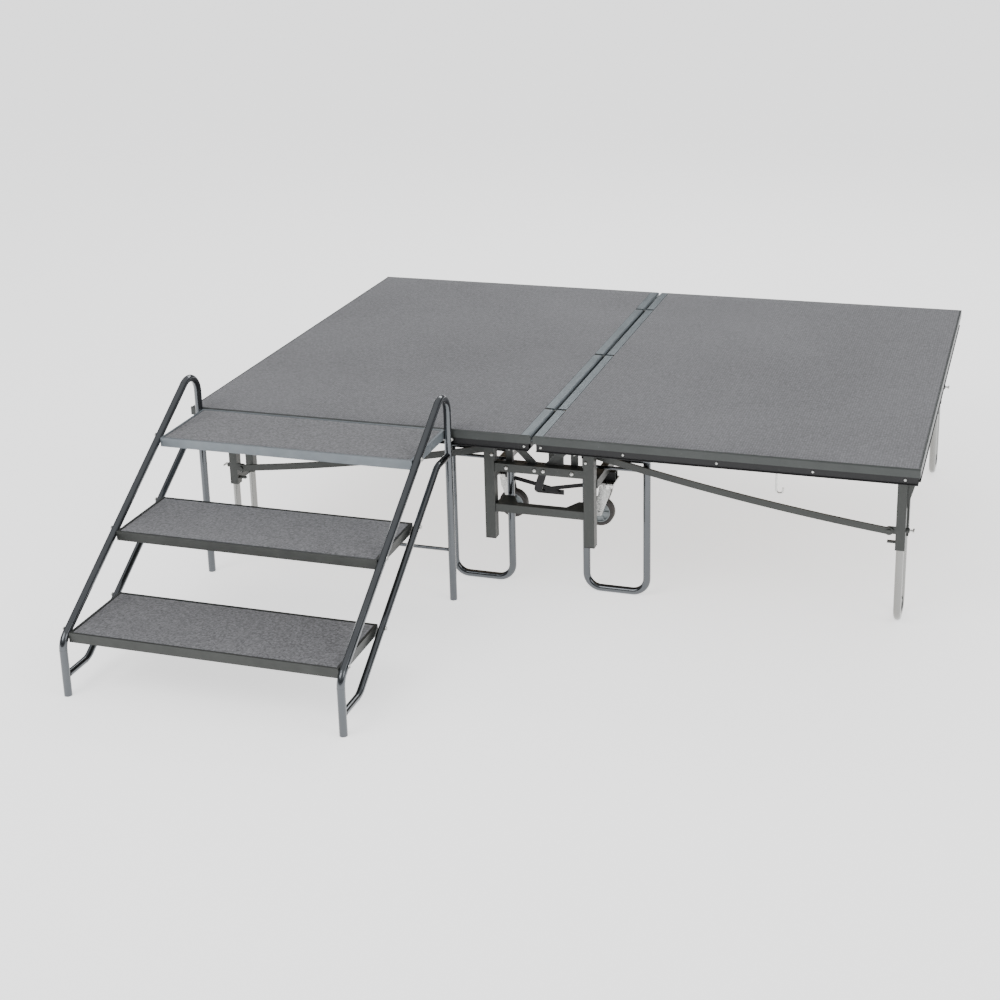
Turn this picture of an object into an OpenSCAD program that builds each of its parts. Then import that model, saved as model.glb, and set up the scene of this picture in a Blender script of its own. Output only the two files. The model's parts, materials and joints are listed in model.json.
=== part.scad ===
// Folding stage riser on a wheeled centre carriage, with a free-standing three-tread stair.
// X runs along the front edge, Y runs from the stair to the back of the deck, Z is up.
// Modules below work from the deck's centre line; placed() moves them to the part's origin,
// which is on the floor, under the middle of the whole assembly.

/* [Deck] */
// Width of the open deck, both halves together
deck_w = 2440; // [2380:10:2500]
// Depth of the deck, front to back
deck_d = 1830; // [1800:10:1900]
// Height of the carpet above the floor
deck_h = 600; // [600:1:604]
// Half of the gap between the two deck halves at the seam
seam_half_gap = 3.5; // [3.4:0.1:4]
// Thickness of the deck carpet
carpet_t = 4; // [3:0.5:4]

/* [Legs] */
// Outside diameter of the round leg and stair tubes
tube_d = 25; // [24:0.5:25]
// Wall thickness of the tubes
tube_wall = 2; // [1.5:0.5:3]
// Distance from the centre line to the inner tube of each U leg
u_leg_in = 131; // [130:0.5:131]
// Distance from the centre line to the outer tube of each U leg
u_leg_out = 338; // [320:1:350]
// Distance from the centre line to the outer legs
outer_leg_x = 1157; // [1150:1:1157]
// Depth position of the U legs, measured from the deck's middle
u_leg_y = 738; // [736:1:740]

/* [Carriage] */
// Width of the square posts
post_w = 35; // [30:1:36]
// Distance from the centre line to the posts
post_x = 170; // [168:1:172]
// Height of the wheels and posts above the floor while the deck is open
wheel_lift = 200; // [190:1:200]
// Radius of the caster wheels
wheel_r = 50; // [45:1:50]

/* [Stair] */
// Distance between the two side tubes of the stair
stair_w = 900; // [800:10:920]
// Height of one step
step_rise = 200; // [200:1:201]
// Distance from one tread to the next
step_run = 315; // [310:1:320]
// Depth of one tread
tread_d = 300; // [280:5:305]

/* [Hidden] */

$fn = 48;

// Clearances: weld_gap parts tubes of one welded frame, pin_fit is radial play on a pin
weld_gap = 0.2;
pin_fit = 0.08;
skin_gap = 0.3;

// Deck layers, from the carpet down
half_w = deck_w / 2;
half_d = deck_d / 2;
panel_t = 15;
panel_top = deck_h - carpet_t;
panel_bottom = panel_top - panel_t;
rail_h = 35;
rail_bottom = panel_bottom - rail_h;
rail_w = 30;
rail_wall = 2;
trim_t = 6;
trim_h = 28;
trim_r = 5;
inner_rail_x = 13;
inner_rail_w = 20;
inner_rail_h = 21.8;
strip_w = 32.5;
strip_in_w = 20.5;
strip_chamfer = 5;
cross_x = [145, 560, 1010];
cross_shallow = 10;
frame_y = 815;
notch_w = 15;
leg_notch_w = 40;

// Deck hinge rods, close to the seam and just below the carpet
hinge_x = 16.5;
hinge_z = deck_h - 14;
hinge_r = 4;
pedestal_y = [-640, 0, 640];
pedestal_t = 10;

// Carriage
end_y = 830;
post_top = rail_bottom - 6;
bar_w = 28;
upper_bar_z = 454;
lower_rail_z = 310;
strut_t = 6;
strut_w = 24;
strut_y = end_y - bar_w / 2 - strut_t;
inner_bolt_x = 15;
outer_bolt_x = 112;
beam_z = 366;
beam_h = 33;
beam_half = 210;
side_rail_x = 177.5;
side_rail_w = 25;
tie_y = 706;
bolt_r = 5;
bolt_head_r = 8;

// U legs
u_bend_r = 50;
u_pivot_x = 160;
u_pivot_z = 518;
u_top_bar_z = 475;
u_cross_z = 446;
ear_t = 6;

// Outer legs
sleeve_w = 30;
sleeve_bottom = 264;
sleeve_top = 540;
gusset_bottom = 400;
leg_pivot_z = 526;
front_sleeve_y = 745;
rear_sleeve_y = 620;
loop_top = 510;
leg_pin_z = 330;
leg_pin_r = 3.5;

// Bowed brace between the carriage and the outer leg
brace_y = 766;
brace_t = 8;
brace_w = 22;
brace_bow = 16;
brace_in = [outer_bolt_x, 509];
brace_out = [outer_leg_x - 35, 331];

// Casters
caster_x = 175;
caster_y = 640;
caster_trail = 22;
axle_z = wheel_lift + wheel_r;
axle_r = 6;
wheel_w = 30;
fork_gap = 34;
fork_t = 4;

// Storage hook
hook_x = 773;
hook_pivot_z = 534;
hook_len = 90;
hook_wire = 6;
hook_eye_r = 7;
hook_pin_r = hook_eye_r - hook_wire / 2 - pin_fit;

// Stair, in the side view: y along the run, z up
stair_x = 730;
stair_back = -half_d - tube_d / 2 - 2.5;
first_tread = -half_d - 10 - tread_d - 2 * step_run;
step_slope = step_rise / step_run;
tread_h = 30;
tread_lip = 8;
stair_foot_y = first_tread - 17;
tube_drop = 12;
stringer_top_z = 515;
stringer_low_z = 65;
handrail_r = 60;
cross_rod_z = 179;

// Inside faces of the stair's two sides
tread_x0 = -stair_x - stair_w / 2 + tube_d / 2 + skin_gap;
tread_x1 = -stair_x + stair_w / 2 - tube_d / 2 - skin_gap;

origin_shift = (half_d - (-stair_foot_y + tube_d / 2)) / -2;

// ---------- helpers ----------

module placed() {
    translate([0, origin_shift, 0]) children();
}

// side is 1 on the right and -1 on the left; face is 1 at the front and -1 at the rear
module corner(side, face) {
    mirror([side < 0 ? 1 : 0, 0, 0]) mirror([0, face < 0 ? 1 : 0, 0]) children();
}

module both_faces() {
    children();
    mirror([0, 1, 0]) children();
}

// A block given by its low and high corners
module block(low, high) {
    translate(low) cube(high - low);
}

// Rectangular tube along X, Y or Z, given by its corners
module box_tube(low, high, axis) {
    bore = [for (i = [0:2]) i == axis ? -1 : rail_wall];
    difference() {
        block(low, high);
        block(low + bore, high - bore);
    }
}

// A flat shape drawn in x and z, thick in y from y0 to y0 + t
module plate_xz(y0, t) {
    translate([0, y0 + t, 0]) rotate([90, 0, 0]) linear_extrude(t) children();
}

// Round rod along Y between two depths
module rod_y(x, z, r, y0, y1) {
    translate([x, y1, z]) rotate([90, 0, 0]) cylinder(r = r, h = y1 - y0);
}

// Round rod along X
module rod_x(y, z, r, x0, x1) {
    translate([x0, y, z]) rotate([0, 90, 0]) cylinder(r = r, h = x1 - x0);
}

// Flat bar with round ends between two points, for plate_xz
module link_shape(a, b, w) {
    span = b - a;
    translate(a) circle(d = w);
    translate(b) circle(d = w);
    translate(a) rotate(atan2(span.y, span.x)) translate([0, -w / 2]) square([norm(span), w]);
}

function heading(a, b) = atan2(b.y - a.y, b.x - a.x);
function wrap(angle) = angle > 180 ? angle - 360 : angle < -180 ? angle + 360 : angle;

// Turn at point i of a path, positive to the left
function turn_at(path, i) =
    i <= 0 || i >= len(path) - 1 ? 0
    : wrap(heading(path[i], path[i + 1]) - heading(path[i - 1], path[i]));

// Length that a bend takes from each of the two runs it joins
function bend_cut(path, radii, i) = radii[i] * tan(abs(turn_at(path, i)) / 2);

// Round bar along a bent path in the XY plane; both ends run on by the extra length
module path_rod(path, radii, d, extra) {
    last = len(path) - 2;
    for (i = [0:last]) {
        start = i == 0 ? -extra : bend_cut(path, radii, i);
        end = i == last ? -extra : bend_cut(path, radii, i + 1);
        translate(path[i]) rotate([0, 0, heading(path[i], path[i + 1])]) translate([start, 0, 0])
            rotate([0, 90, 0]) cylinder(d = d, h = norm(path[i + 1] - path[i]) - start - end);
    }
    for (i = [1:1:last]) {
        turn = turn_at(path, i);
        cut = bend_cut(path, radii, i);
        translate(path[i]) rotate([0, 0, heading(path[i - 1], path[i])])
            translate([-cut, sign(turn) * radii[i], 0]) rotate([0, 0, turn > 0 ? -90 : 90 + turn])
                rotate_extrude(angle = abs(turn)) translate([radii[i], 0]) circle(d = d);
        // Short collars cover the seams of bends that aren't square
        if (abs(turn) != 90) translate(path[i]) {
            rotate([0, 0, heading(path[i - 1], path[i])]) collar(-cut, d);
            rotate([0, 0, heading(path[i], path[i + 1])]) collar(cut, d);
        }
    }
}

module collar(x, d) {
    translate([x - 2, 0, 0]) rotate([0, 90, 0]) cylinder(d = d + 0.5, h = 4);
}

// Bent round tube, or a solid bar where the wall is 0
module bent_tube(path, radii, d, wall) {
    difference() {
        path_rod(path, radii, d, 0);
        if (wall > 0) path_rod(path, radii, d - 2 * wall, 1);
    }
}

// ---------- carriage ----------

// Two posts, an upper bar and a lower rail, seen at the front of the carriage
module end_frame() {
    color("dimgray") {
        for (side = [-1, 1]) {
            box_tube([side * post_x - post_w / 2, -end_y - post_w / 2, wheel_lift + 3],
                     [side * post_x + post_w / 2, -end_y + post_w / 2, post_top], 2);
        }
        for (z = [upper_bar_z, lower_rail_z]) {
            box_tube([-post_x + post_w / 2 + weld_gap, -end_y - bar_w / 2, z - bar_w / 2],
                     [post_x - post_w / 2 - weld_gap, -end_y + bar_w / 2, z + bar_w / 2], 0);
        }
        for (side = [-1, 1]) mirror([side < 0 ? 1 : 0, 0, 0]) corner_gusset();
    }
}

// Flat gusset behind the lower rail
module corner_gusset() {
    translate([0, 0, lower_rail_z + bar_w / 2 - strut_t]) linear_extrude(strut_t) polygon([
        [post_x - post_w / 2 - weld_gap, -end_y + bar_w / 2 + weld_gap],
        [post_x - post_w / 2 - weld_gap, -end_y + bar_w / 2 + 56],
        [post_x - post_w / 2 - 40, -end_y + bar_w / 2 + 56],
        [post_x - post_w / 2 - 68, -end_y + bar_w / 2 + weld_gap]
    ]);
}

// Flat bar that leans out at 45 degrees from a bolt on the upper bar and is cut level at the top
module diagonal_strut() {
    slant = strut_w / 2 * cos(45);
    top_z = rail_bottom - 1.5;
    left_rise = top_z - upper_bar_z - slant;
    right_rise = top_z - upper_bar_z + slant;
    plate_xz(-strut_y - strut_t, strut_t) {
        translate([inner_bolt_x, upper_bar_z]) circle(d = strut_w);
        polygon([
            [inner_bolt_x - slant, upper_bar_z + slant], [inner_bolt_x - slant + left_rise, top_z],
            [inner_bolt_x + slant + right_rise, top_z], [inner_bolt_x + slant, upper_bar_z - slant]
        ]);
    }
}

// Diagonal struts in front, and the uprights behind them that carry the brace pivots
module hinge_strut_set() {
    for (side = [-1, 1]) mirror([side < 0 ? 1 : 0, 0, 0]) {
        diagonal_strut();
        difference() {
            plate_xz(-strut_y + weld_gap, strut_t)
                link_shape([outer_bolt_x, upper_bar_z], brace_in, strut_w);
            rod_y(brace_in.x, brace_in.y, bolt_r + weld_gap, -strut_y - 1, -strut_y + 20);
        }
    }
}

module hinge_struts() {
    color("dimgray") both_faces() hinge_strut_set();
}

module side_rails() {
    rail_end = end_y - post_w / 2 - weld_gap;
    color("dimgray") for (side = [-1, 1]) {
        box_tube([side * side_rail_x - side_rail_w / 2, -rail_end, beam_z + beam_h + weld_gap],
                 [side * side_rail_x + side_rail_w / 2, rail_end, beam_z + beam_h + 30], 1);
    }
}

module cross_beams() {
    color([0.13, 0.13, 0.14]) for (y = pedestal_y) {
        box_tube([-beam_half, y - beam_h / 2, beam_z], [beam_half, y + beam_h / 2, beam_z + beam_h], 0);
    }
}

// Plate that stands on a cross beam and holds both hinge rods
module hinge_pedestals() {
    lug_r = 9;
    color("dimgray") for (y = pedestal_y) {
        difference() {
            plate_xz(y - pedestal_t / 2, pedestal_t) {
                translate([-hinge_x - lug_r, beam_z + beam_h + weld_gap])
                    square([2 * (hinge_x + lug_r), hinge_z - beam_z - beam_h - weld_gap]);
                translate([-hinge_x, hinge_z]) square([2 * hinge_x, lug_r]);
                for (side = [-1, 1]) translate([side * hinge_x, hinge_z]) circle(r = lug_r);
            }
            for (side = [-1, 1]) {
                rod_y(side * hinge_x, hinge_z, hinge_r + 0.02, y - pedestal_t, y + pedestal_t);
            }
        }
    }
}

module hinge_rods() {
    color("silver") for (side = [-1, 1]) {
        rod_y(side * hinge_x, hinge_z, hinge_r, pedestal_y[0] - 20, pedestal_y[2] + 20);
    }
}

// Shallow V of flat bars between the side rails, with a bolted middle plate and a centre hanger
module tie_link_set() {
    rail_point = [side_rail_x - side_rail_w / 2 - 12, beam_z + 6];
    middle = [0, 341];
    plate_xz(-tie_y - 3, 6) {
        link_shape(rail_point, middle, 12);
        link_shape([-rail_point.x, rail_point.y], middle, 12);
        translate([-45, 322]) square([90, 16]);
    }
    for (side = [-1, 1]) {
        block([side * rail_point.x - 8, -tie_y - 3, rail_point.y - 4],
              [side * rail_point.x + 8, -tie_y + 3, beam_z + beam_h + 8]);
    }
    for (x = [-27, 27]) rod_y(x, 330, 5, -tie_y - 7, -tie_y - 2);
}

// Slanted strap from the upper bar to the middle of the V
module centre_hanger() {
    hanger_y = end_y - bar_w / 2 - strut_t - 14;
    plate_xz(-hanger_y, 4) link_shape([2, upper_bar_z - 16], [-18, 372], 26);
}

module tie_links() {
    color([0.16, 0.16, 0.17]) both_faces() {
        tie_link_set();
        centre_hanger();
    }
}

// Coil spring between the upper bar and the V, as a plain closed cylinder
module lift_springs() {
    color("silver") both_faces() {
        translate([36, -tie_y - 55, 428]) rotate([0, 103, 0]) cylinder(r = 6, h = 62);
    }
}

module post_caps() {
    cap_t = 5;
    color([0.1, 0.1, 0.1]) for (side = [-1, 1]) for (face = [-1, 1]) {
        translate([side * post_x, face * end_y, wheel_lift]) {
            block([-post_w / 2, -post_w / 2, 0], [post_w / 2, post_w / 2, cap_t / 2]);
            block([-post_w / 2 + 3, -post_w / 2 + 3, cap_t / 2 - 1],
                  [post_w / 2 - 3, post_w / 2 - 3, cap_t + 8]);
        }
    }
}

// Dome-headed bolt along Y with its head at the front
module dome_bolt(x, z, y_head, y_end, r) {
    rod_y(x, z, r, y_head, y_end);
    intersection() {
        translate([x, y_head + 2, z]) sphere(r = 1.5 * r);
        block([x - 2 * r, y_head - 2 * r, z - 2 * r], [x + 2 * r, y_head, z + 2 * r]);
    }
}

module frame_bolts() {
    spacer_r = 8.5;
    brace_back = -brace_y + brace_t / 2;
    color("silver") both_faces() for (side = [-1, 1]) {
        for (x = [inner_bolt_x, outer_bolt_x]) {
            dome_bolt(side * x, upper_bar_z, -end_y - bar_w / 2 - 1, -end_y - bar_w / 2 - 0.1, 5);
        }
        dome_bolt(side * (post_x - 10), 498, -end_y - post_w / 2 - 1, -end_y - post_w / 2 - 0.1, 4);
        // Pivot bolt of the bowed brace, with its spacer
        rod_y(side * brace_in.x, brace_in.y, bolt_r, -strut_y + weld_gap, brace_back + 1);
        rod_y(side * brace_in.x, brace_in.y, spacer_r,
              -strut_y + strut_t + 2 * weld_gap, brace_back - brace_t - 0.5);
        rod_y(side * brace_in.x, brace_in.y, bolt_head_r, brace_back + 0.5, brace_back + 5);
    }
}

module caster_plates() {
    color("silver") for (side = [-1, 1]) for (face = [-1, 1]) {
        translate([side * caster_x, face * caster_y, 0]) difference() {
            union() {
                block([-35, -42, beam_z - 5.2], [35, 42, beam_z - weld_gap]);
                translate([0, 0, beam_z - 15]) cylinder(r = 28, h = 11);
            }
            translate([0, 0, beam_z - 20]) cylinder(r = axle_r + pin_fit, h = 25);
        }
    }
}

// ---------- deck halves, drawn on the right side ----------

module deck_panel() {
    color("burlywood") difference() {
        block([seam_half_gap + strip_in_w + skin_gap, -half_d + trim_t + skin_gap, panel_bottom],
              [half_w - trim_t - skin_gap, half_d - trim_t - skin_gap, panel_top]);
        hinge_notches();
    }
}

module deck_carpet() {
    color([0.55, 0.55, 0.57])
        block([seam_half_gap + strip_w + skin_gap, -half_d + trim_t + skin_gap, panel_top + 0.1],
              [half_w - trim_t - skin_gap, half_d - trim_t - skin_gap, deck_h]);
}

// Room for the pedestals, cut right through the seam side of the deck
module hinge_notches() {
    for (y = pedestal_y) {
        block([-1, y - notch_w / 2, rail_bottom - 10],
              [seam_half_gap + strip_w, y + notch_w / 2, deck_h + 10]);
    }
}

// Stretches of the inner rail between the notches for pedestals and U legs
module inner_rail() {
    cuts = [-half_d + trim_t + rail_w + weld_gap,
            -u_leg_y - leg_notch_w / 2, -u_leg_y + leg_notch_w / 2,
            pedestal_y[0] - notch_w / 2, pedestal_y[0] + notch_w / 2,
            pedestal_y[1] - notch_w / 2, pedestal_y[1] + notch_w / 2,
            pedestal_y[2] - notch_w / 2, pedestal_y[2] + notch_w / 2,
            u_leg_y - leg_notch_w / 2, u_leg_y + leg_notch_w / 2,
            half_d - trim_t - rail_w - weld_gap];
    for (i = [0:2:len(cuts) - 2]) {
        box_tube([inner_rail_x, cuts[i], rail_bottom],
                 [inner_rail_x + inner_rail_w, cuts[i + 1], rail_bottom + inner_rail_h], 1);
    }
}

// Front or back rail: a tube with a thin lip that stands out under the recess
module fascia_rail() {
    box_tube([inner_rail_x, -half_d + trim_t, rail_bottom],
             [half_w - trim_t, -half_d + trim_t + rail_w, panel_bottom - weld_gap], 0);
    block([inner_rail_x, -half_d + 1, rail_bottom],
          [half_w - trim_t, -half_d + trim_t + 1, rail_bottom + 2]);
}

module outer_rail() {
    box_tube([half_w - trim_t - rail_w, -half_d + trim_t + rail_w + weld_gap, rail_bottom],
             [half_w - trim_t, half_d - trim_t - rail_w - weld_gap, panel_bottom - weld_gap], 1);
    block([half_w - trim_t - 1, -half_d + trim_t + rail_w + weld_gap, rail_bottom],
          [half_w - 1, half_d - trim_t - rail_w - weld_gap, rail_bottom + 2]);
}

// Two ears under the deck that hold the pivot bolt of a U leg
module u_leg_ears() {
    for (y0 = [-u_leg_y - ear_t / 2 - 5 - 0.5, -u_leg_y + ear_t / 2 + 0.5]) {
        difference() {
            plate_xz(y0, 5) {
                link_shape([u_pivot_x, u_pivot_z], [u_pivot_x, rail_bottom - 14], 26);
                translate([u_pivot_x - 13, rail_bottom - 14]) square([26, 14 - weld_gap]);
            }
            rod_y(u_pivot_x, u_pivot_z, bolt_r + 0.02, y0 - 1, y0 + 6);
        }
    }
}

// Two ears between the sleeves that hold the pivot bolt of an outer leg
module outer_leg_ears() {
    for (y0 = [-front_sleeve_y + sleeve_w / 2 + 2, -rear_sleeve_y - sleeve_w / 2 - 7]) {
        difference() {
            plate_xz(y0, 5) {
                translate([outer_leg_x, leg_pivot_z]) circle(r = 14);
                polygon([[outer_leg_x - 14, leg_pivot_z], [outer_leg_x - 14, rail_bottom - weld_gap],
                         [outer_leg_x + 45, rail_bottom - weld_gap], [outer_leg_x + 45, rail_bottom - 6],
                         [outer_leg_x + 14, leg_pivot_z]]);
            }
            rod_y(outer_leg_x, leg_pivot_z, bolt_r + 0.02, y0 - 1, y0 + 6);
        }
    }
}

module deck_frame() {
    inner_end = seam_half_gap + strip_w + weld_gap;
    outer_end = half_w - trim_t - rail_w - weld_gap;
    color([0.12, 0.12, 0.13]) {
        both_faces() {
            fascia_rail();
            box_tube([inner_end, -frame_y - rail_w / 2, rail_bottom],
                     [outer_end, -frame_y + rail_w / 2, panel_bottom - weld_gap], 0);
            outer_leg_ears();
        }
        inner_rail();
        outer_rail();
        // Cross members front to back; the first one carries the U legs
        box_tube([cross_x[0], -frame_y + rail_w / 2 + weld_gap, rail_bottom],
                 [cross_x[0] + rail_w, frame_y - rail_w / 2 - weld_gap, panel_bottom - weld_gap], 1);
        both_faces() u_leg_ears();
        box_tube([cross_x[1], -frame_y + rail_w / 2 + weld_gap, rail_bottom + cross_shallow],
                 [cross_x[1] + rail_w, frame_y - rail_w / 2 - weld_gap, panel_bottom - weld_gap], 1);
        box_tube([cross_x[2], -frame_y + rail_w / 2 + weld_gap, rail_bottom],
                 [cross_x[2] + rail_w, frame_y - rail_w / 2 - weld_gap, panel_bottom - weld_gap], 1);
        // Middle rail in three stretches between the cross members
        for (span = [[cross_x[0] + rail_w, cross_x[1]], [cross_x[1] + rail_w, cross_x[2]],
                     [cross_x[2] + rail_w, outer_end]]) {
            box_tube([span[0] + weld_gap, -rail_w / 2, rail_bottom + cross_shallow],
                     [span[1] - weld_gap, rail_w / 2, panel_bottom - weld_gap], 0);
        }
    }
}

// Edge trim: a strip with a rounded top corner round three sides of the deck half
module trim_profile() {
    difference() {
        square([trim_t, trim_h]);
        translate([0, trim_h - trim_r]) square([trim_r, trim_r + 1]);
    }
    translate([trim_r, trim_h - trim_r]) intersection() {
        circle(r = trim_r);
        translate([-trim_r, 0]) square([trim_r, trim_r]);
    }
}

module edge_trim() {
    color([0.36, 0.37, 0.36]) {
        difference() {
            both_faces() translate([seam_half_gap, -half_d, deck_h - trim_h]) rotate([90, 0, 90])
                linear_extrude(half_w - seam_half_gap) trim_profile();
            // Bevel level with the seam strip's, so the two halves clear each other as they fold
            plate_xz(-half_d - 1, deck_d + 2) polygon([
                [seam_half_gap - 1, deck_h - strip_chamfer - 1],
                [seam_half_gap - 1, deck_h + 1],
                [seam_half_gap + strip_chamfer + 1, deck_h + 1]
            ]);
        }
        translate([half_w, -half_d + trim_t + weld_gap, deck_h - trim_h]) rotate([90, 0, 180])
            linear_extrude(deck_d - 2 * (trim_t + weld_gap)) trim_profile();
    }
}

// Aluminium section along the seam, bored for the hinge rod
module seam_strip() {
    x0 = seam_half_gap;
    low = rail_bottom + inner_rail_h + weld_gap;
    rail_end = half_d - trim_t - rail_w - weld_gap;
    color("lightsteelblue") difference() {
        plate_xz(-half_d + trim_t + skin_gap, deck_d - 2 * (trim_t + skin_gap)) polygon([
            [x0, low], [x0 + strip_w, low], [x0 + strip_w, panel_bottom - weld_gap],
            [x0 + strip_in_w, panel_bottom - weld_gap], [x0 + strip_in_w, panel_top + 0.2],
            [x0 + strip_w, panel_top + 0.2], [x0 + strip_w, deck_h],
            [x0 + strip_chamfer, deck_h], [x0, deck_h - strip_chamfer]
        ]);
        rod_y(hinge_x, hinge_z, hinge_r + pin_fit, -half_d, half_d);
        hinge_notches();
        // The front and back rails run under the ends of the strip
        both_faces() block([0, -half_d, low - 1], [x0 + strip_w + 1, -rail_end, panel_bottom]);
    }
}

// Screw heads along the front and back rails, and pivot bolts of the legs
module fasteners() {
    screw_x = [28, 300, 600, 898, 1175];
    screw_z = rail_bottom + 14;
    sleeves_front = -front_sleeve_y - sleeve_w / 2;
    sleeves_back = -rear_sleeve_y + sleeve_w / 2;
    color("silver") {
        both_faces() {
            for (x = screw_x) dome_bolt(x, screw_z, -half_d + trim_t - 0.6, -half_d + trim_t - 0.1, 3.5);
            // U leg pivot bolt
            rod_y(u_pivot_x, u_pivot_z, bolt_r, -u_leg_y - 9.5, -u_leg_y + 9.5);
            rod_y(u_pivot_x, u_pivot_z, bolt_head_r, -u_leg_y - 13, -u_leg_y - 9);
            // Outer leg pivot bolt, right through both sleeves
            rod_y(outer_leg_x, leg_pivot_z, bolt_r, sleeves_front - 1, sleeves_back + 1);
            rod_y(outer_leg_x, leg_pivot_z, 7, sleeves_front - 2, sleeves_front - 0.5);
            rod_y(outer_leg_x, leg_pivot_z, 7, sleeves_back + 0.5, sleeves_back + 4);
        }
    }
}

// Two ears and a pin under the front of the right half, where the storage hook hangs
module hook_hanger() {
    color("silver") {
        for (y0 = [-frame_y - 8, -frame_y + 4]) {
            block([hook_x - 7, y0, hook_pivot_z - 6], [hook_x + 7, y0 + 4, rail_bottom - weld_gap]);
        }
        rod_y(hook_x, hook_pivot_z, hook_pin_r, -frame_y - 9, -frame_y + 9);
    }
}

// ---------- legs, drawn at the front right corner ----------

// Bent U tube with a stiffening rod and a top bar that carries its pivot ear
module u_leg() {
    path = [[u_leg_in, u_top_bar_z], [u_leg_in, tube_d / 2],
            [u_leg_out, tube_d / 2], [u_leg_out, u_top_bar_z]];
    bar_end = tube_d / 2;
    color([0.45, 0.46, 0.47]) {
        difference() {
            union() {
                translate([0, -u_leg_y, 0]) rotate([90, 0, 0])
                    bent_tube(path, [0, u_bend_r, u_bend_r, 0], tube_d, tube_wall);
                block([u_leg_in - bar_end, -u_leg_y - 10, u_top_bar_z - 0.5],
                      [u_leg_out + bar_end, -u_leg_y + 10, u_top_bar_z + 20]);
                plate_xz(-u_leg_y - ear_t / 2, ear_t) {
                    link_shape([u_pivot_x, u_pivot_z], [u_pivot_x, u_top_bar_z + 19], 20);
                }
                rod_x(-u_leg_y, u_cross_z, 6, u_leg_in + tube_d / 2 - 1, u_leg_out - tube_d / 2 + 1);
            }
            rod_y(u_pivot_x, u_pivot_z, bolt_r + pin_fit, -u_leg_y - 20, -u_leg_y + 20);
        }
    }
}

// Two square sleeves joined by bars, with tapered gussets, the brace bracket and a pin boss
module leg_sleeve() {
    inner_x = outer_leg_x - sleeve_w / 2;
    outer_x = outer_leg_x + sleeve_w / 2;
    gap_front = -front_sleeve_y + sleeve_w / 2 - 1;
    gap_rear = -rear_sleeve_y - sleeve_w / 2 + 1;
    bracket_w = 24;
    color([0.3, 0.31, 0.3]) difference() {
        union() {
            for (y = [front_sleeve_y, rear_sleeve_y]) {
                box_tube([inner_x, -y - sleeve_w / 2, sleeve_bottom],
                         [outer_x, -y + sleeve_w / 2, sleeve_top], 2);
                plate_xz(-y - 3, 6) polygon([
                    [outer_x - 1, gusset_bottom], [outer_x - 1, sleeve_top],
                    [outer_x + 33, sleeve_top], [outer_x + 33, sleeve_top - 20]
                ]);
            }
            block([outer_leg_x - 12, gap_front, 460], [outer_leg_x + 12, gap_rear, 485]);
            block([outer_leg_x - 3, gap_front, sleeve_bottom],
                  [outer_leg_x + 3, gap_rear, sleeve_bottom + 22]);
            // Bracket behind the end of the brace
            plate_xz(-front_sleeve_y - sleeve_w / 2, 6) {
                translate(brace_out) circle(d = bracket_w);
                translate([brace_out.x, brace_out.y - bracket_w / 2])
                    square([inner_x + 1 - brace_out.x, bracket_w]);
            }
            // Boss that guides the lock pin
            rod_x(-front_sleeve_y, leg_pin_z, 8, outer_x - 1, outer_x + 12);
            // Keeper on the inner face
            block([inner_x - 26, -front_sleeve_y - 6, sleeve_bottom + 20],
                  [inner_x + 1, -front_sleeve_y + 6, sleeve_bottom + 26]);
        }
        rod_x(-front_sleeve_y, leg_pin_z, leg_pin_r + pin_fit, outer_x - rail_wall - 1, outer_x + 20);
        rod_y(outer_leg_x, leg_pivot_z, bolt_r + pin_fit,
              -front_sleeve_y - sleeve_w, -rear_sleeve_y + sleeve_w);
    }
}

// Lower U tube that telescopes in the two sleeves
module leg_loop() {
    path = [[-front_sleeve_y, loop_top], [-front_sleeve_y, tube_d / 2],
            [-rear_sleeve_y, tube_d / 2], [-rear_sleeve_y, loop_top]];
    color("silver") translate([outer_leg_x, 0, 0]) rotate([90, 0, 90])
        bent_tube(path, [0, u_bend_r, u_bend_r, 0], tube_d, tube_wall);
}

// Lock pin with a cross handle; it pulls out of the boss, away from the deck's middle
module leg_pin() {
    outer_x = outer_leg_x + sleeve_w / 2;
    grip_x = outer_x + 26;
    color("silver") {
        rod_x(-front_sleeve_y, leg_pin_z, leg_pin_r, outer_x - rail_wall, grip_x);
        rod_y(grip_x - 2, leg_pin_z, 3, -front_sleeve_y - 14, -front_sleeve_y + 14);
    }
}

// A point of the brace's edge: t runs from 0 to 1 along it, offset is measured across it
function brace_point(t, offset) =
    let (span = brace_out - brace_in, across = [-span.y, span.x] / norm(span))
    brace_in + t * span + (offset - 4 * brace_bow * t * (1 - t)) * across;

// Bowed flat bar from the carriage to the outer leg, hanging slightly at its middle
module brace() {
    steps = 24;
    color([0.3, 0.31, 0.3]) {
        difference() {
            plate_xz(-brace_y - brace_t / 2, brace_t) {
                polygon([
                    for (i = [0:steps]) brace_point(i / steps, brace_w / 2),
                    for (i = [steps:-1:0]) brace_point(i / steps, -brace_w / 2)
                ]);
                for (end = [brace_in, brace_out]) translate(end) circle(r = brace_w / 2 + 2);
            }
            rod_y(brace_in.x, brace_in.y, bolt_r + pin_fit, -brace_y - 20, -brace_y + 20);
        }
        rod_y(brace_out.x, brace_out.y, 7, -brace_y - brace_t / 2 - 5, -brace_y - brace_t / 2 + 1);
    }
}

// ---------- casters, drawn at the front right corner ----------

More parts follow.
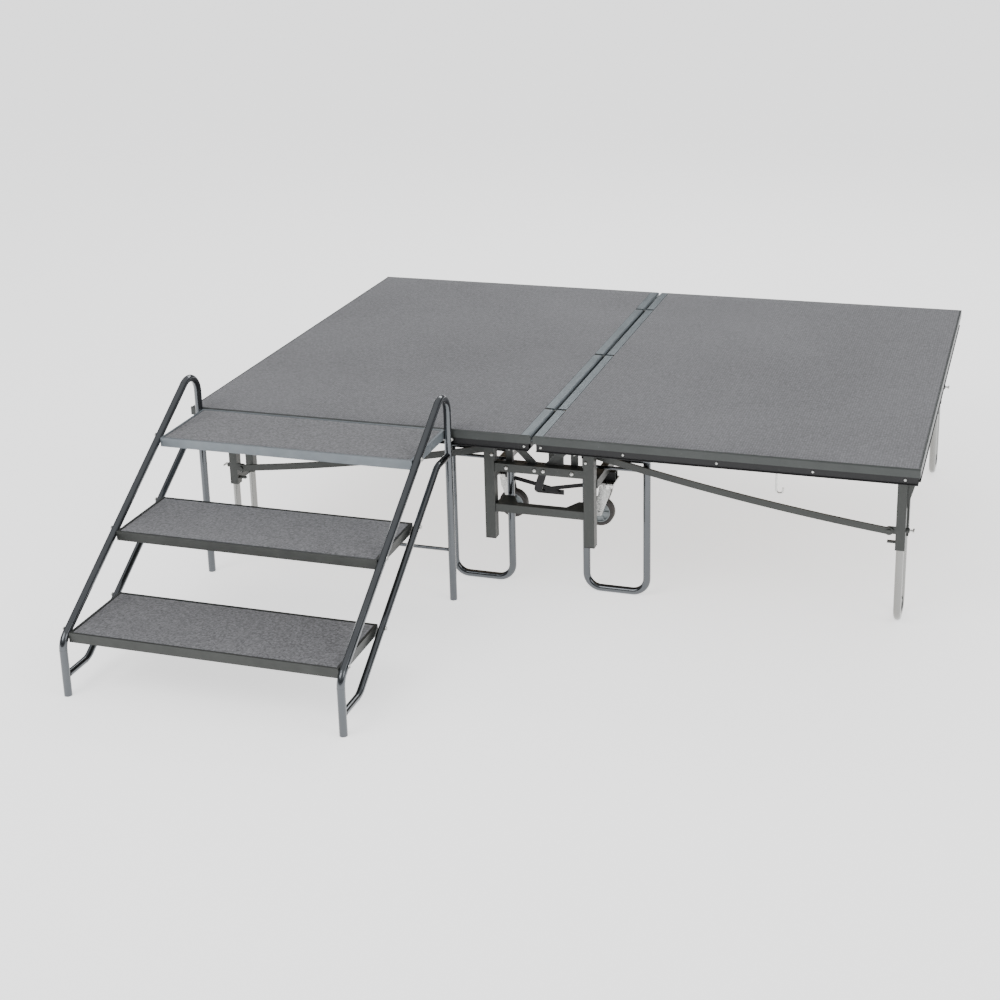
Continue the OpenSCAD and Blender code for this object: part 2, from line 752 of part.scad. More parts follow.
module caster_fork() {
    leg_top = beam_z - 27;
    trail_x = -caster_trail;
    color("silver") translate([caster_x, -caster_y, 0]) difference() {
        union() {
            translate([0, 0, leg_top]) cylinder(r = 26, h = 11);
            translate([0, 0, leg_top]) cylinder(r = axle_r, h = 26);
            for (side = [-1, 1]) {
                plate_xz(side * (fork_gap / 2 + fork_t / 2) - fork_t / 2, fork_t) {
                    polygon([[-20, leg_top + 4], [20, leg_top + 4], [16, leg_top - 22],
                             [trail_x + 12, axle_z], [trail_x - 12, axle_z]]);
                    translate([trail_x, axle_z]) circle(r = 12);
                }
            }
            rod_y(trail_x, axle_z, axle_r, -fork_gap / 2 - fork_t - 4, fork_gap / 2 + fork_t + 4);
        }
    }
}

// Tyre and hub, free to turn on the axle
module caster_wheel() {
    x = caster_x - caster_trail;
    color([0.2, 0.17, 0.16]) difference() {
        union() {
            rod_y(x, axle_z, wheel_r, -caster_y - wheel_w / 2 + 4, -caster_y + wheel_w / 2 - 4);
            rod_y(x, axle_z, wheel_r - 4, -caster_y - wheel_w / 2, -caster_y + wheel_w / 2);
        }
        rod_y(x, axle_z, axle_r + pin_fit, -caster_y - wheel_w, -caster_y + wheel_w);
    }
}

// ---------- storage hook under the right half ----------

module storage_hook() {
    path = [[hook_x, hook_pivot_z - hook_eye_r], [hook_x, hook_pivot_z - hook_len],
            [hook_x + 22, hook_pivot_z - hook_len], [hook_x + 22, hook_pivot_z - hook_len + 18]];
    color("silver") translate([0, -frame_y, 0]) rotate([90, 0, 0]) {
        bent_tube(path, [0, 10, 10, 0], hook_wire, 0);
        translate([hook_x, hook_pivot_z, 0]) rotate_extrude()
            translate([hook_eye_r, 0]) circle(d = hook_wire);
    }
}

// ---------- stair ----------

function front_line(y) = step_rise - tube_drop + (y - first_tread) * step_slope;
function back_line(y) = step_rise - tube_drop + (y - first_tread - tread_d) * step_slope;
function back_line_y(z) = first_tread + tread_d + (z - step_rise + tube_drop) / step_slope;

// One side: the tube that forms front leg, handrail and back leg, and the lower stringer tube
module stair_side(x) {
    rail_path = [[stair_foot_y, 0], [stair_foot_y, front_line(stair_foot_y)],
                 [stair_back, front_line(stair_back)], [stair_back, 0]];
    stringer_path = [[stair_foot_y + tube_d / 2 - 1, stringer_low_z],
                     [back_line_y(stringer_low_z), stringer_low_z],
                     [back_line_y(stringer_top_z), stringer_top_z],
                     [stair_back - tube_d / 2 + 1, stringer_top_z]];
    color([0.42, 0.43, 0.44]) translate([x, 0, 0]) rotate([90, 0, 90]) {
        bent_tube(rail_path, [0, 50, handrail_r, 0], tube_d, tube_wall);
        bent_tube(stringer_path, [0, 60, 60, 0], tube_d - 3, 0);
    }
}

module stair_cross_rod() {
    color([0.42, 0.43, 0.44]) rod_x(stair_back, cross_rod_z, 6, tread_x0, tread_x1);
}

// Inverted steel tray with a raised rim round the carpet
module tread_frame(step) {
    y0 = first_tread + step * step_run;
    top = step_rise * (step + 1);
    wall = 3;
    difference() {
        block([tread_x0, y0, top - tread_h], [tread_x1, y0 + tread_d, top]);
        block([tread_x0 + tread_lip, y0 + tread_lip, top - 5],
              [tread_x1 - tread_lip, y0 + tread_d - tread_lip, top + 1]);
        block([tread_x0 + wall, y0 + wall, top - tread_h - 1],
              [tread_x1 - wall, y0 + tread_d - wall, top - 8]);
    }
}

module tread_frames() {
    color([0.4, 0.41, 0.42]) for (step = [0:2]) tread_frame(step);
}

module tread_carpets() {
    inset = tread_lip + skin_gap;
    color([0.45, 0.45, 0.47]) for (step = [0:2]) {
        y0 = first_tread + step * step_run;
        top = step_rise * (step + 1);
        block([tread_x0 + inset, y0 + inset, top - 4.8], [tread_x1 - inset, y0 + tread_d - inset, top]);
    }
}

// Dome-headed bolts through the side tubes into each tread
module stair_bolts() {
    reach = stair_w / 2 + tube_d / 2;
    for (step = [0:2]) for (side = [-1, 1]) {
        front_y = first_tread + step * step_run + 20;
        back_y = step == 2 ? stair_back : front_y + tread_d - 20;
        points = [[front_y, front_line(front_y)], [back_y, step == 2 ? 570 : back_line(back_y)]];
        for (p = points) {
            color("silver") translate([-stair_x + side * reach, p.x, p.y]) rotate([0, side * 90, 0]) {
                translate([0, 0, 0.1]) cylinder(r = 7, h = 2);
                translate([0, 0, 1]) cylinder(r = 4, h = 4);
            }
        }
    }
}

placed() end_frame();  // front_end_frame
placed() mirror([0, 1, 0]) end_frame();  // rear_end_frame
placed() hinge_struts();
placed() side_rails();
placed() cross_beams();
placed() hinge_pedestals();
placed() hinge_rods();
placed() tie_links();
placed() lift_springs();
placed() post_caps();
placed() frame_bolts();
placed() caster_plates();
placed() corner(-1, 1) deck_panel();  // left_deck_panel
placed() corner(-1, 1) deck_carpet();  // left_deck_carpet
placed() corner(-1, 1) deck_frame();  // left_deck_frame
placed() corner(-1, 1) edge_trim();  // left_edge_trim
placed() corner(-1, 1) seam_strip();  // left_seam_strip
placed() corner(-1, 1) fasteners();  // left_fasteners
placed() deck_panel();  // right_deck_panel
placed() deck_carpet();  // right_deck_carpet
placed() deck_frame();  // right_deck_frame
placed() edge_trim();  // right_edge_trim
placed() seam_strip();  // right_seam_strip
placed() {  // right_fasteners
    fasteners();
    hook_hanger();
}
placed() corner(-1, 1) u_leg();  // left_front_u_leg
placed() corner(-1, -1) u_leg();  // left_rear_u_leg
placed() corner(1, 1) u_leg();  // right_front_u_leg
placed() corner(1, -1) u_leg();  // right_rear_u_leg
placed() corner(-1, 1) leg_sleeve();  // left_front_leg_sleeve
placed() corner(-1, -1) leg_sleeve();  // left_rear_leg_sleeve
placed() corner(1, 1) leg_sleeve();  // right_front_leg_sleeve
placed() corner(1, -1) leg_sleeve();  // right_rear_leg_sleeve
placed() corner(-1, 1) leg_loop();  // left_front_leg_loop
placed() corner(-1, -1) leg_loop();  // left_rear_leg_loop
placed() corner(1, 1) leg_loop();  // right_front_leg_loop
placed() corner(1, -1) leg_loop();  // right_rear_leg_loop
placed() corner(-1, 1) leg_pin();  // left_front_leg_pin
placed() corner(-1, -1) leg_pin();  // left_rear_leg_pin
placed() corner(1, 1) leg_pin();  // right_front_leg_pin
placed() corner(1, -1) leg_pin();  // right_rear_leg_pin
placed() corner(-1, 1) brace();  // left_front_brace
placed() corner(-1, -1) brace();  // left_rear_brace
placed() corner(1, 1) brace();  // right_front_brace
placed() corner(1, -1) brace();  // right_rear_brace
placed() corner(-1, 1) caster_fork();  // left_front_caster_fork
placed() corner(-1, -1) caster_fork();  // left_rear_caster_fork
placed() corner(1, 1) caster_fork();  // right_front_caster_fork
placed() corner(1, -1) caster_fork();  // right_rear_caster_fork
placed() corner(-1, 1) caster_wheel();  // left_front_caster_wheel
placed() corner(-1, -1) caster_wheel();  // left_rear_caster_wheel
placed() corner(1, 1) caster_wheel();  // right_front_caster_wheel
placed() corner(1, -1) caster_wheel();  // right_rear_caster_wheel
placed() storage_hook();
placed() stair_side(-stair_x - stair_w / 2);  // stair_left_side
placed() stair_side(-stair_x + stair_w / 2);  // stair_right_side
placed() stair_cross_rod();
placed() tread_frames();
placed() tread_carpets();
placed() stair_bolts();
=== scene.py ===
"""Looks of the folding stage riser: materials, carpets, casters, springs, light and camera."""

import json
import math
import random

import bmesh
import bpy
from mathutils import Matrix, Vector


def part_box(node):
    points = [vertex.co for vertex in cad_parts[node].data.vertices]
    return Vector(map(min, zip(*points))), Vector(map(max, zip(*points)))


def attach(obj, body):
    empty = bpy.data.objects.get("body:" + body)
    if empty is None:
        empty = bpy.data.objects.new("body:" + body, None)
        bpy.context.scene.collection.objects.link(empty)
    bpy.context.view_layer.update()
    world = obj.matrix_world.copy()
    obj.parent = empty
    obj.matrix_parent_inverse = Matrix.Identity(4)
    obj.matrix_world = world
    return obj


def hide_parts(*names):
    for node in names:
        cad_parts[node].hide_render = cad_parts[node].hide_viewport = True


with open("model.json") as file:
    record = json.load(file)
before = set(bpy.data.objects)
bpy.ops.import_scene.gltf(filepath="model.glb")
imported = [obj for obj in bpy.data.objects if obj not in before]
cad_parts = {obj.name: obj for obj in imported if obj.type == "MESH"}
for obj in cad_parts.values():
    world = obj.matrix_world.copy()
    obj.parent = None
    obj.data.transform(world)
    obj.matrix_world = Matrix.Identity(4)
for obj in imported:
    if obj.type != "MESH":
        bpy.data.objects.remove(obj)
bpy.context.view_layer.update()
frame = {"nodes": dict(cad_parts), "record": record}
NODES = frame["nodes"]
CORNERS = [f"{side}_{end}" for side in ("left", "right") for end in ("front", "rear")]
TREAD_PILE = 0.0048


# ---------- camera, floor and light ----------

def add_camera():
    """A photographer standing right of the stair, looking down at the deck from the front."""
    place = Vector((1.554, -5.377, 2.459))
    yaw, pitch, roll = -0.3225, 0.3086, -0.0255
    ahead = Vector((math.sin(yaw) * math.cos(pitch), math.cos(yaw) * math.cos(pitch), -math.sin(pitch)))
    level = Vector((math.cos(yaw), -math.sin(yaw), 0))
    above = level.cross(ahead)
    right = level * math.cos(roll) + above * math.sin(roll)
    up = above * math.cos(roll) - level * math.sin(roll)
    data = bpy.data.cameras.new("camera")
    data.sensor_width = 36
    data.lens = 61.76
    data.shift_x = -0.0006
    data.shift_y = -0.1244
    data.clip_end = 200
    camera = bpy.data.objects.new("camera", data)
    camera.matrix_world = Matrix.Translation(place) @ Matrix((right, up, -ahead)).transposed().to_4x4()
    bpy.context.collection.objects.link(camera)
    bpy.context.scene.camera = camera


def add_area_light(name, place, target, size, power):
    data = bpy.data.lights.new(name, "AREA")
    data.shape = "RECTANGLE"
    data.size, data.size_y = size
    data.energy = power
    light = bpy.data.objects.new(name, data)
    light.location = place
    light.rotation_euler = (Vector(target) - Vector(place)).to_track_quat("-Z", "Y").to_euler()
    bpy.context.collection.objects.link(light)


def node(tree, kind, inputs=None, **settings):
    """Adds a shader node; inputs maps a socket's name or number to a value or to another socket."""
    made = tree.nodes.new(kind)
    for key, value in settings.items():
        setattr(made, key, value)
    for key, value in (inputs or {}).items():
        if isinstance(value, bpy.types.NodeSocket):
            tree.links.new(value, made.inputs[key])
        else:
            made.inputs[key].default_value = value
    return made


def add_world():
    """Bright overhead and dim at the horizon, so that polished tubes show light and dark streaks."""
    world = bpy.data.worlds.new("studio")
    bpy.context.scene.world = world
    world.use_nodes = True
    tree = world.node_tree
    tree.nodes.clear()
    direction = node(tree, "ShaderNodeTexCoord").outputs["Generated"]
    height = node(tree, "ShaderNodeSeparateXYZ", {0: direction}).outputs["Z"]
    ramp = node(tree, "ShaderNodeValToRGB", {0: height})
    stops = ramp.color_ramp.elements
    stops[0].position, stops[0].color = 0.0, (0.62, 0.62, 0.63, 1)
    stops[1].position, stops[1].color = 1.0, (1.0, 1.0, 1.0, 1)
    middle = stops.new(0.30)
    middle.color = (0.10, 0.11, 0.12, 1)
    upper = stops.new(0.55)
    upper.color = (0.70, 0.71, 0.73, 1)
    background = node(tree, "ShaderNodeBackground", {"Color": ramp.outputs["Color"], "Strength": 0.9})
    output = node(tree, "ShaderNodeOutputWorld")
    tree.links.new(background.outputs[0], output.inputs[0])


def add_floor():
    mesh = bpy.data.meshes.new("floor")
    reach = 45
    corners = [(-reach, -reach, 0), (reach, -reach, 0), (reach, reach, 0), (-reach, reach, 0)]
    mesh.from_pydata(corners, [], [(0, 1, 2, 3)])
    floor = bpy.data.objects.new("floor", mesh)
    bpy.context.collection.objects.link(floor)
    material, tree, shader = new_material("floor", (0.92, 0.92, 0.92), 0.0, 0.9)
    shader.inputs["Emission Color"].default_value = (1, 1, 1, 1)
    shader.inputs["Emission Strength"].default_value = 1.3
    mesh.materials.append(material)


# ---------- materials ----------

def new_material(name, colour, metallic, roughness):
    material = bpy.data.materials.new(name)
    material.use_nodes = True
    tree = material.node_tree
    shader = tree.nodes["Principled BSDF"]
    shader.inputs["Base Color"].default_value = (*colour, 1)
    shader.inputs["Metallic"].default_value = metallic
    shader.inputs["Roughness"].default_value = roughness
    return material, tree, shader


def place_of(tree):
    """Coordinates in metres, in the part's own frame."""
    return node(tree, "ShaderNodeTexCoord").outputs["Object"]


def stretched(tree, coords, scale):
    return node(tree, "ShaderNodeMapping", {"Vector": coords, "Scale": scale}).outputs["Vector"]


def noise(tree, coords, scale, detail=3.0, roughness=0.55):
    made = node(tree, "ShaderNodeTexNoise", {"Vector": coords, "Scale": scale, "Detail": detail, "Roughness": roughness})
    return made.outputs[0]


def remap(tree, value, low, high, to_low, to_high):
    made = node(tree, "ShaderNodeMapRange", {"Value": value, "From Min": low, "From Max": high, "To Min": to_low, "To Max": to_high})
    return made.outputs[0]


def blend_colours(tree, factor, first, second):
    made = node(tree, "ShaderNodeMix", {"Factor": factor}, data_type="RGBA")
    for socket, value in ((made.inputs[6], first), (made.inputs[7], second)):
        if isinstance(value, bpy.types.NodeSocket):
            tree.links.new(value, socket)
        else:
            socket.default_value = (*value, 1)
    return made.outputs[2]


def bump(tree, shader, height, strength, distance):
    made = node(tree, "ShaderNodeBump", {"Height": height, "Strength": strength, "Distance": distance})
    tree.links.new(made.outputs["Normal"], shader.inputs["Normal"])


def hammered_paint(name, colour, worn):
    """Powder coat with a fine hammered texture and a few rubbed spots."""
    material, tree, shader = new_material(name, colour, 0.25, 0.4)
    coords = place_of(tree)
    cells = node(tree, "ShaderNodeTexVoronoi", {"Vector": coords, "Scale": 320.0}, feature="SMOOTH_F1").outputs["Distance"]
    cloud = noise(tree, coords, 9.0, 5.0)
    rub = remap(tree, noise(tree, coords, 60.0, 6.0, 0.7), 0.64, 0.74, 0.0, 0.6)
    tone = blend_colours(tree, cloud, [c * 0.72 for c in colour], [c * 1.25 for c in colour])
    tree.links.new(blend_colours(tree, rub, tone, worn), shader.inputs["Base Color"])
    tree.links.new(remap(tree, cells, 0.0, 0.9, 0.30, 0.52), shader.inputs["Roughness"])
    bump(tree, shader, cells, 0.35, 0.0006)
    return material


def tread_paint():
    """The same paint as the frame, with painted light: the top tread's frame is painted a lighter blue-grey to
    stand in for the light falling on it.
    """
    material, tree, shader = new_material("tread_paint", (0.10, 0.10, 0.10), 0.35, 0.35)
    coords = place_of(tree)
    height = node(tree, "ShaderNodeSeparateXYZ", {0: coords}).outputs["Z"]
    # Painted light: above this height the frame gets a lighter painted tone, a painted highlight for the lit top
    # tread.
    top_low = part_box("tread_frames")[1].z - 0.05
    painted_light_top_mask = remap(tree, height, top_low, top_low + 0.001, 0.0, 1.0)
    cloud = noise(tree, coords, 14.0, 5.0)
    dark = blend_colours(tree, cloud, (0.022, 0.024, 0.022), (0.055, 0.058, 0.054))
    # The painted lit colour of the top tread's frame.
    light = blend_colours(tree, cloud, (0.14, 0.16, 0.18), (0.26, 0.29, 0.31))
    tree.links.new(blend_colours(tree, painted_light_top_mask, dark, light), shader.inputs["Base Color"])
    fine = noise(tree, coords, 600.0, 2.0)
    tree.links.new(remap(tree, fine, 0.3, 0.7, 0.28, 0.42), shader.inputs["Roughness"])
    bump(tree, shader, fine, 0.12, 0.0004)
    return material


def polished_tube(name, colour, smooth, dull):
    """Drawn steel tube: faint lines along it, smudges, and a bright mirror sheen."""
    material, tree, shader = new_material(name, colour, 1.0, smooth)
    shader.inputs["Coat Weight"].default_value = 0.7
    shader.inputs["Coat Roughness"].default_value = 0.07
    coords = place_of(tree)
    smudge = noise(tree, coords, 12.0, 4.0)
    lines = noise(tree, stretched(tree, coords, (1.0, 1.0, 0.04)), 700.0, 2.0)
    tree.links.new(remap(tree, smudge, 0.35, 0.7, smooth, dull), shader.inputs["Roughness"])
    tree.links.new(blend_colours(tree, smudge, [c * 0.85 for c in colour], [c * 1.1 for c in colour]), shader.inputs["Base Color"])
    bump(tree, shader, lines, 0.05, 0.0003)
    return material


def zinc_plate():
    material, tree, shader = new_material("zinc_plate", (0.62, 0.62, 0.60), 1.0, 0.3)
    coords = place_of(tree)
    spangle = node(tree, "ShaderNodeTexVoronoi", {"Vector": coords, "Scale": 260.0}).outputs["Color"]
    patch = node(tree, "ShaderNodeSeparateColor", {0: spangle}).outputs[0]
    tree.links.new(remap(tree, patch, 0.0, 1.0, 0.22, 0.42), shader.inputs["Roughness"])
    tree.links.new(blend_colours(tree, patch, (0.55, 0.55, 0.54), (0.72, 0.72, 0.69)), shader.inputs["Base Color"])
    bump(tree, shader, noise(tree, coords, 500.0), 0.08, 0.0003)
    return material


def seam_metal():
    """Extruded aluminium with fine grooves along the seam."""
    material, tree, shader = new_material("seam_metal", (0.40, 0.43, 0.45), 0.85, 0.36)
    coords = place_of(tree)
    grooves = node(tree, "ShaderNodeTexWave", {"Vector": coords, "Scale": 70.0, "Distortion": 0.0}, wave_type="BANDS", bands_direction="X").outputs["Fac"]
    scuffs = noise(tree, stretched(tree, coords, (1.0, 0.15, 1.0)), 60.0, 6.0, 0.7)
    tone = blend_colours(tree, grooves, (0.10, 0.12, 0.13), (0.34, 0.38, 0.40))
    tree.links.new(blend_colours(tree, remap(tree, scuffs, 0.55, 0.75, 0.0, 0.5), tone, (0.12, 0.13, 0.14)), shader.inputs["Base Color"])
    tree.links.new(remap(tree, scuffs, 0.3, 0.7, 0.28, 0.5), shader.inputs["Roughness"])
    bump(tree, shader, grooves, 0.5, 0.0006)
    return material


def carpet(name, dark, light, rib):
    """Short needle-punch pile: flecked fibres, faint ribs along the run and uneven wear."""
    material, tree, shader = new_material(name, light, 0.0, 0.95)
    coords = place_of(tree)
    tufts = noise(tree, coords, 110.0, 5.0, 0.8)
    flecks = node(tree, "ShaderNodeTexVoronoi", {"Vector": coords, "Scale": 170.0}).outputs["Color"]
    fleck = node(tree, "ShaderNodeSeparateColor", {0: flecks}).outputs[0]
    ribs = node(tree, "ShaderNodeTexWave", {"Vector": coords, "Scale": 38.0, "Distortion": 2.5, "Detail": 3.0, "Detail Scale": 4.0}, wave_type="BANDS", bands_direction="X").outputs["Fac"]
    wear = noise(tree, coords, 1.6, 5.0)
    shade = node(tree, "ShaderNodeMath", {0: remap(tree, tufts, 0.36, 0.64, 0.0, 0.55), 1: remap(tree, fleck, 0.0, 1.0, 0.0, 0.45)}, operation="ADD").outputs[0]
    pile = blend_colours(tree, shade, dark, light)
    ribbed = blend_colours(tree, remap(tree, ribs, 0.0, 1.0, 0.0, rib), pile, [c * 0.7 for c in dark])
    worn = blend_colours(tree, remap(tree, wear, 0.35, 0.7, 0.0, 0.18), ribbed, [c * 1.15 for c in light])
    tree.links.new(worn, shader.inputs["Base Color"])
    shader.inputs["Sheen Weight"].default_value = 0.25
    shader.inputs["Sheen Roughness"].default_value = 0.6
    bump(tree, shader, tufts, 0.6, 0.0025)
    return material


def plywood():
    material, tree, shader = new_material("plywood", (0.42, 0.29, 0.17), 0.0, 0.65)
    coords = place_of(tree)
    grain = noise(tree, stretched(tree, coords, (9.0, 0.6, 9.0)), 14.0, 6.0, 0.6)
    plies = node(tree, "ShaderNodeTexWave", {"Vector": coords, "Scale": 160.0, "Distortion": 0.4}, wave_type="BANDS", bands_direction="Z").outputs["Fac"]
    tone = blend_colours(tree, grain, (0.16, 0.115, 0.07), (0.32, 0.25, 0.17))
    tree.links.new(blend_colours(tree, remap(tree, plies, 0.4, 0.6, 0.0, 0.35), tone, (0.12, 0.08, 0.05)), shader.inputs["Base Color"])
    bump(tree, shader, grain, 0.2, 0.0006)
    return material


def moulded(name, colour, roughness, grain):
    """Moulded plastic or rubber with a fine grain and a little dust."""
    material, tree, shader = new_material(name, colour, 0.0, roughness)
    coords = place_of(tree)
    dust = noise(tree, coords, 45.0, 5.0)
    tree.links.new(blend_colours(tree, remap(tree, dust, 0.5, 0.75, 0.0, 0.4), colour, [c * 0.6 + 0.10 for c in colour]), shader.inputs["Base Color"])
    tree.links.new(remap(tree, dust, 0.3, 0.7, roughness, min(1.0, roughness + 0.2)), shader.inputs["Roughness"])
    bump(tree, shader, noise(tree, coords, grain, 2.0), 0.15, 0.0005)
    return material


# ---------- pieces ----------

def add_piece(name, mesh, body, slot, *materials):
    mesh.update()
    for material in materials:
        mesh.materials.append(material)
    piece = bpy.data.objects.new(name, mesh)
    bpy.context.collection.objects.link(piece)
    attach(piece, body)
    return piece


def edge_steps(low, high, edge, cell):
    """Grid lines from low to high: close together over the rounded edge, then about one cell apart."""
    near = [edge * (1 - math.cos(math.pi / 2 * i / 4)) for i in range(5)]
    count = max(2, round((high - low - 2 * edge) / cell))
    inner = [low + edge + (high - low - 2 * edge) * i / count for i in range(1, count)]
    return [low + d for d in near] + inner + [high - d for d in reversed(near)]


def rounded_drop(distance, edge):
    """How far a rounded edge has dropped at a distance from the border."""
    if distance >= edge:
        return 0.0
    return edge - math.sqrt(max(0.0, edge * edge - (edge - distance) ** 2))


def carpet_mesh(name, low, high, edge, cell, ripple):
    """A fitted carpet: a slightly uneven top with rounded borders that turn down to the backing."""
    mesh = bpy.data.meshes.new(name)
    bm = bmesh.new()
    chance = random.Random(name)
    xs = edge_steps(low.x, high.x, edge, cell)
    ys = edge_steps(low.y, high.y, edge, cell)
    grid = []
    for x in xs:
        row = []
        for y in ys:
            border = min(x - low.x, high.x - x, y - low.y, high.y - y)
            z = high.z - rounded_drop(border, edge) - ripple * chance.random()
            row.append(bm.verts.new((x, y, z)))
        grid.append(row)
    for i in range(len(xs) - 1):
        for j in range(len(ys) - 1):
            bm.faces.new((grid[i][j], grid[i + 1][j], grid[i + 1][j + 1], grid[i][j + 1]))
    rim = [e for e in bm.edges if e.is_boundary]
    skirt = bmesh.ops.extrude_edge_only(bm, edges=rim)["geom"]
    for vert in (g for g in skirt if isinstance(g, bmesh.types.BMVert)):
        vert.co.z = low.z
    bmesh.ops.recalc_face_normals(bm, faces=bm.faces)
    for face in bm.faces:
        face.smooth = True
    bm.to_mesh(mesh)
    bm.free()
    return mesh


def add_deck_carpets(material):
    for side in ("left", "right"):
        cad = f"{side}_deck_carpet"
        low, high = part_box(cad)
        mesh = carpet_mesh(f"{cad}_pile", low, high, 0.0025, 0.06, 0.0004)
        piece = add_piece(f"{cad}_pile", mesh, f"{side}_deck", "carpet", material)
        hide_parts(cad)


def add_tread_carpets(material):
    """One carpet in each tread, in the three equal stretches of the CAD node's box."""
    steps = 3
    low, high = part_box("tread_carpets")
    run = (high.y - low.y - tread_depth()) / (steps - 1)
    rise = (high.z - low.z - TREAD_PILE) / (steps - 1)
    made = []
    for step in range(steps):
        start = Vector((low.x, low.y + step * run, low.z + step * rise))
        end = Vector((high.x, start.y + tread_depth(), start.z + TREAD_PILE))
        mesh = carpet_mesh(f"tread_{step + 1}_pile", start, end, 0.0032, 0.02, 0.0007)
        piece = add_piece(f"tread_{step + 1}_pile", mesh, "stair", "carpet", material)
        made.append(piece)
    for piece in made:
        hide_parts("tread_carpets")


def tread_depth():
    """Front to back size of one tread's carpet, read from the lowest one's own vertices."""
    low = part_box("tread_carpets")[0]
    lowest = [v.co.y for v in NODES["tread_carpets"].data.vertices if v.co.z < low.z + 0.01]
    return max(lowest) - min(lowest)


def spin_profile(bm, profile, centre, steps=72):
    """Turns a profile of (radius, offset along Y) points round a level axis through centre."""
    rings = []
    for i in range(steps):
        angle = 2 * math.pi * i / steps
        ring = [bm.verts.new(centre + Vector((r * math.cos(angle), y, r * math.sin(angle)))) for r, y in profile]
        rings.append(ring)
    faces = []
    for i in range(steps):
        here, there = rings[i], rings[(i + 1) % steps]
        for j in range(len(profile)):
            k = (j + 1) % len(profile)
            faces.append(bm.faces.new((here[j], there[j], there[k], here[k])))
    return faces


def arc(centre_r, centre_y, radius, start, end, steps=6):
    """Points of a round stretch of a profile, angles in degrees from the outward direction."""
    turns = [math.radians(start + (end - start) * i / steps) for i in range(steps + 1)]
    return [(centre_r + radius * math.cos(t), centre_y + radius * math.sin(t)) for t in turns]


def add_caster_wheels(tyre, hub):
    """Soft tyre with a rounded tread on a ribbed hub, in place of each plain CAD wheel."""
    for corner in CORNERS:
        cad = f"{corner}_caster_wheel"
        low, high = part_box(cad)
        centre = (low + high) / 2
        radius, half = (high.z - low.z) / 2, (high.y - low.y) / 2
        bm = bmesh.new()
        shoulder = 0.0055
        rim = radius * 0.74
        tyre_profile = [(rim, -half + 0.001), (rim + 0.001, -half)]
        tyre_profile += arc(radius - shoulder, -half + shoulder, shoulder, -90, 0)
        tyre_profile += arc(radius - shoulder, half - shoulder, shoulder, 0, 90)
        tyre_profile += [(rim + 0.001, half), (rim, half - 0.001)]
        spin_profile(bm, tyre_profile, centre)
        web, boss, bore = half * 0.45, radius * 0.30, 0.0064
        hub_profile = [(bore, -half), (boss, -half), (boss + 0.001, -half + 0.001), (boss + 0.001, -web),
                       (rim - 0.004, -web), (rim - 0.003, -half + 0.002), (rim, -half + 0.002),
                       (rim, half - 0.002), (rim - 0.003, half - 0.002), (rim - 0.004, web),
                       (boss + 0.001, web), (boss + 0.001, half - 0.001), (boss, half), (bore, half)]
        for face in spin_profile(bm, hub_profile, centre):
            face.material_index = 1
        ribs = 6
        for i in range(ribs):
            for side in (-1, 1):
                length, depth = rim - boss - 0.004, half - 0.003 - web
                middle = Vector((boss + length / 2 + 0.001, side * (web + depth / 2), 0))
                turn = Matrix.Rotation(2 * math.pi * i / ribs, 4, "Y")
                size = Matrix.Diagonal((length, depth, 0.0025, 1))
                rib = bmesh.ops.create_cube(bm, size=1, matrix=Matrix.Translation(centre) @ turn @ Matrix.Translation(middle) @ size)
                for face in {f for v in rib["verts"] for f in v.link_faces}:
                    face.material_index = 1
        bmesh.ops.recalc_face_normals(bm, faces=bm.faces)
        mesh = bpy.data.meshes.new(f"{cad}_detail")
        bm.to_mesh(mesh)
        bm.free()
        piece = add_piece(f"{cad}_detail", mesh, cad, "wheel_rubber", tyre, hub)
        smooth_by_angle(piece, 35)
        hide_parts(cad)


def smooth_by_angle(piece, degrees):
    """Smooth shading, with every edge sharper than the angle kept crisp."""
    bm = bmesh.new()
    bm.from_mesh(piece.data)
    for edge in bm.edges:
        edge.smooth = len(edge.link_faces) == 2 and edge.calc_face_angle(0) < math.radians(degrees)
    for face in bm.faces:
        face.smooth = True
    bm.to_mesh(piece.data)
    bm.free()


def sweep(bm, points, radius, sides=8):
    """A round wire along a list of points."""
    rings = []
    across = None
    for i, point in enumerate(points):
        ahead = (points[min(i + 1, len(points) - 1)] - points[max(i - 1, 0)]).normalized()
        if across is None:
            across = ahead.orthogonal().normalized()
        across = (across - ahead * across.dot(ahead)).normalized()
        other = ahead.cross(across)
        turns = [2 * math.pi * k / sides for k in range(sides)]
        rings.append([bm.verts.new(point + (across * math.cos(t) + other * math.sin(t)) * radius) for t in turns])
    for here, there in zip(rings, rings[1:]):
        for k in range(sides):
            bm.faces.new((here[k], there[k], there[(k + 1) % sides], here[(k + 1) % sides])).smooth = True
    bm.faces.new(rings[0][::-1])
    bm.faces.new(rings[-1])


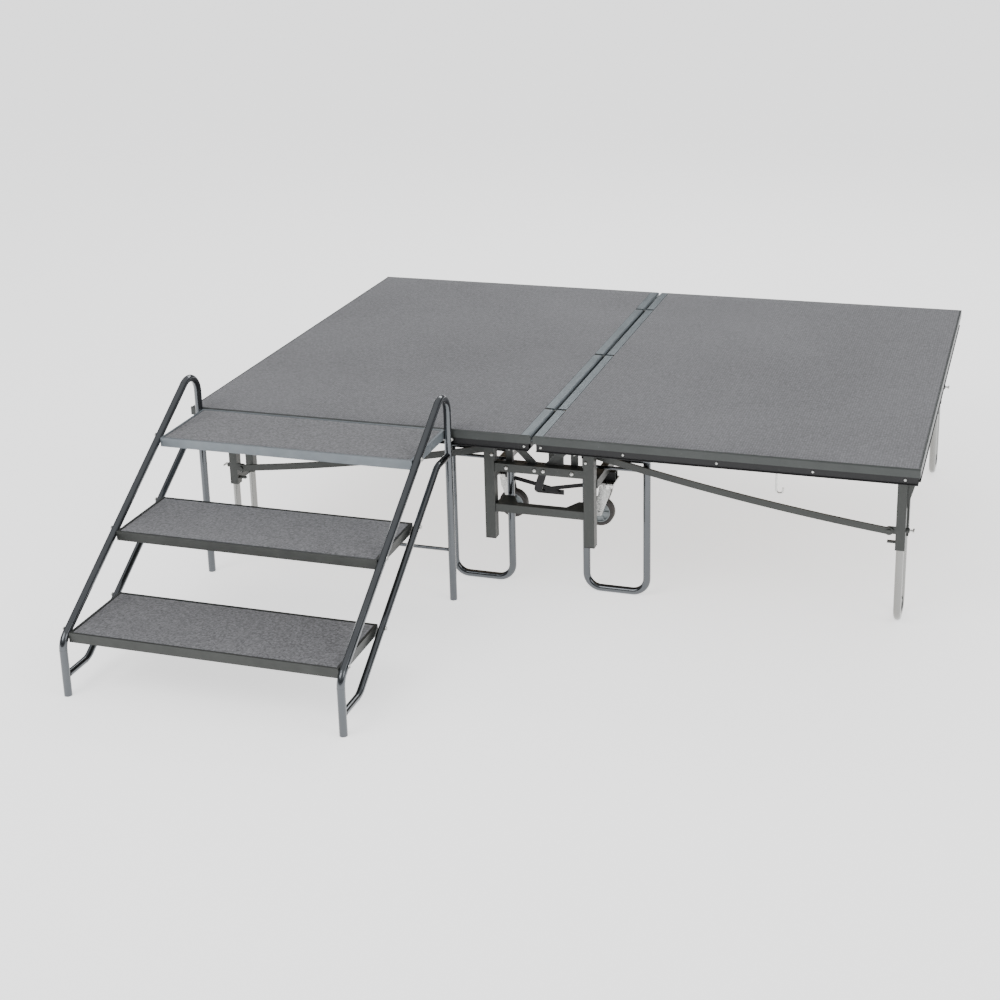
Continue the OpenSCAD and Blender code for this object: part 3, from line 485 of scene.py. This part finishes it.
def add_lift_springs(material):
    """Open coils with straight tails, in place of the CAD's two plain cylinders."""
    low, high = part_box("lift_springs")
    coil_r, wire_r, turns = 0.0050, 0.0009, 17
    bm = bmesh.new()
    for y in (low.y + 0.006, high.y - 0.006):
        start = Vector((low.x + 0.001, y, high.z - 0.006))
        end = Vector((high.x - 0.001, y, low.z + 0.006))
        axis = (end - start).normalized()
        across = axis.orthogonal().normalized()
        other = axis.cross(across)
        steps = turns * 14
        points = [start]
        for i in range(steps + 1):
            angle = 2 * math.pi * turns * i / steps
            along = start.lerp(end, 0.08 + 0.84 * i / steps)
            points.append(along + (across * math.cos(angle) + other * math.sin(angle)) * coil_r)
        points.append(end)
        sweep(bm, points, wire_r)
    bmesh.ops.recalc_face_normals(bm, faces=bm.faces)
    mesh = bpy.data.meshes.new("lift_spring_coils")
    bm.to_mesh(mesh)
    bm.free()
    piece = add_piece("lift_spring_coils", mesh, "carriage", "zinc", material)
    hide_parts("lift_springs")


# ---------- putting it together ----------

def dress_cad_nodes(by_slot):
    """Gives every CAD node the material of its slot in the record."""
    for part in frame["record"]["subparts"]:
        mesh = NODES[part["node"]].data
        mesh.materials.clear()
        mesh.materials.append(by_slot[part["material_slot"]])


add_camera()
add_world()
add_floor()
add_area_light("key", (-2.5, -4.5, 4.5), (0, 0, 0.4), (4.0, 3.0), 150)
add_area_light("fill", (4.5, -2.0, 3.0), (0, 0.4, 0.4), (3.0, 3.0), 70)
add_area_light("back", (0.0, 5.0, 4.5), (0, 0, 0.5), (5.0, 2.0), 110)

deck_carpet = carpet("deck_carpet", (0.042, 0.042, 0.047), (0.245, 0.245, 0.262), 0.40)
step_carpet = carpet("step_carpet", (0.018, 0.018, 0.021), (0.245, 0.245, 0.260), 0.12)
zinc = zinc_plate()
rubber = moulded("wheel_rubber", (0.045, 0.040, 0.038), 0.6, 900.0)
hub_grey = moulded("hub_grey", (0.30, 0.33, 0.34), 0.4, 700.0)

dress_cad_nodes({
    "frame_paint": hammered_paint("frame_paint", (0.040, 0.043, 0.040), (0.12, 0.12, 0.11)),
    "black_paint": hammered_paint("black_paint", (0.007, 0.007, 0.008), (0.035, 0.035, 0.035)),
    "trim_paint": hammered_paint("trim_paint", (0.048, 0.053, 0.051), (0.14, 0.15, 0.15)),
    "tread_paint": tread_paint(),
    "dark_chrome": polished_tube("dark_chrome", (0.085, 0.092, 0.100), 0.12, 0.28),
    "bright_tube": polished_tube("bright_tube", (0.25, 0.25, 0.24), 0.20, 0.34),
    "zinc": zinc,
    "strip_metal": seam_metal(),
    "carpet": deck_carpet,
    "plywood": plywood(),
    "black_plastic": moulded("black_plastic", (0.020, 0.020, 0.021), 0.5, 800.0),
    "wheel_rubber": rubber,
})
add_deck_carpets(deck_carpet)
add_tread_carpets(step_carpet)
add_caster_wheels(rubber, hub_grey)
add_lift_springs(zinc)
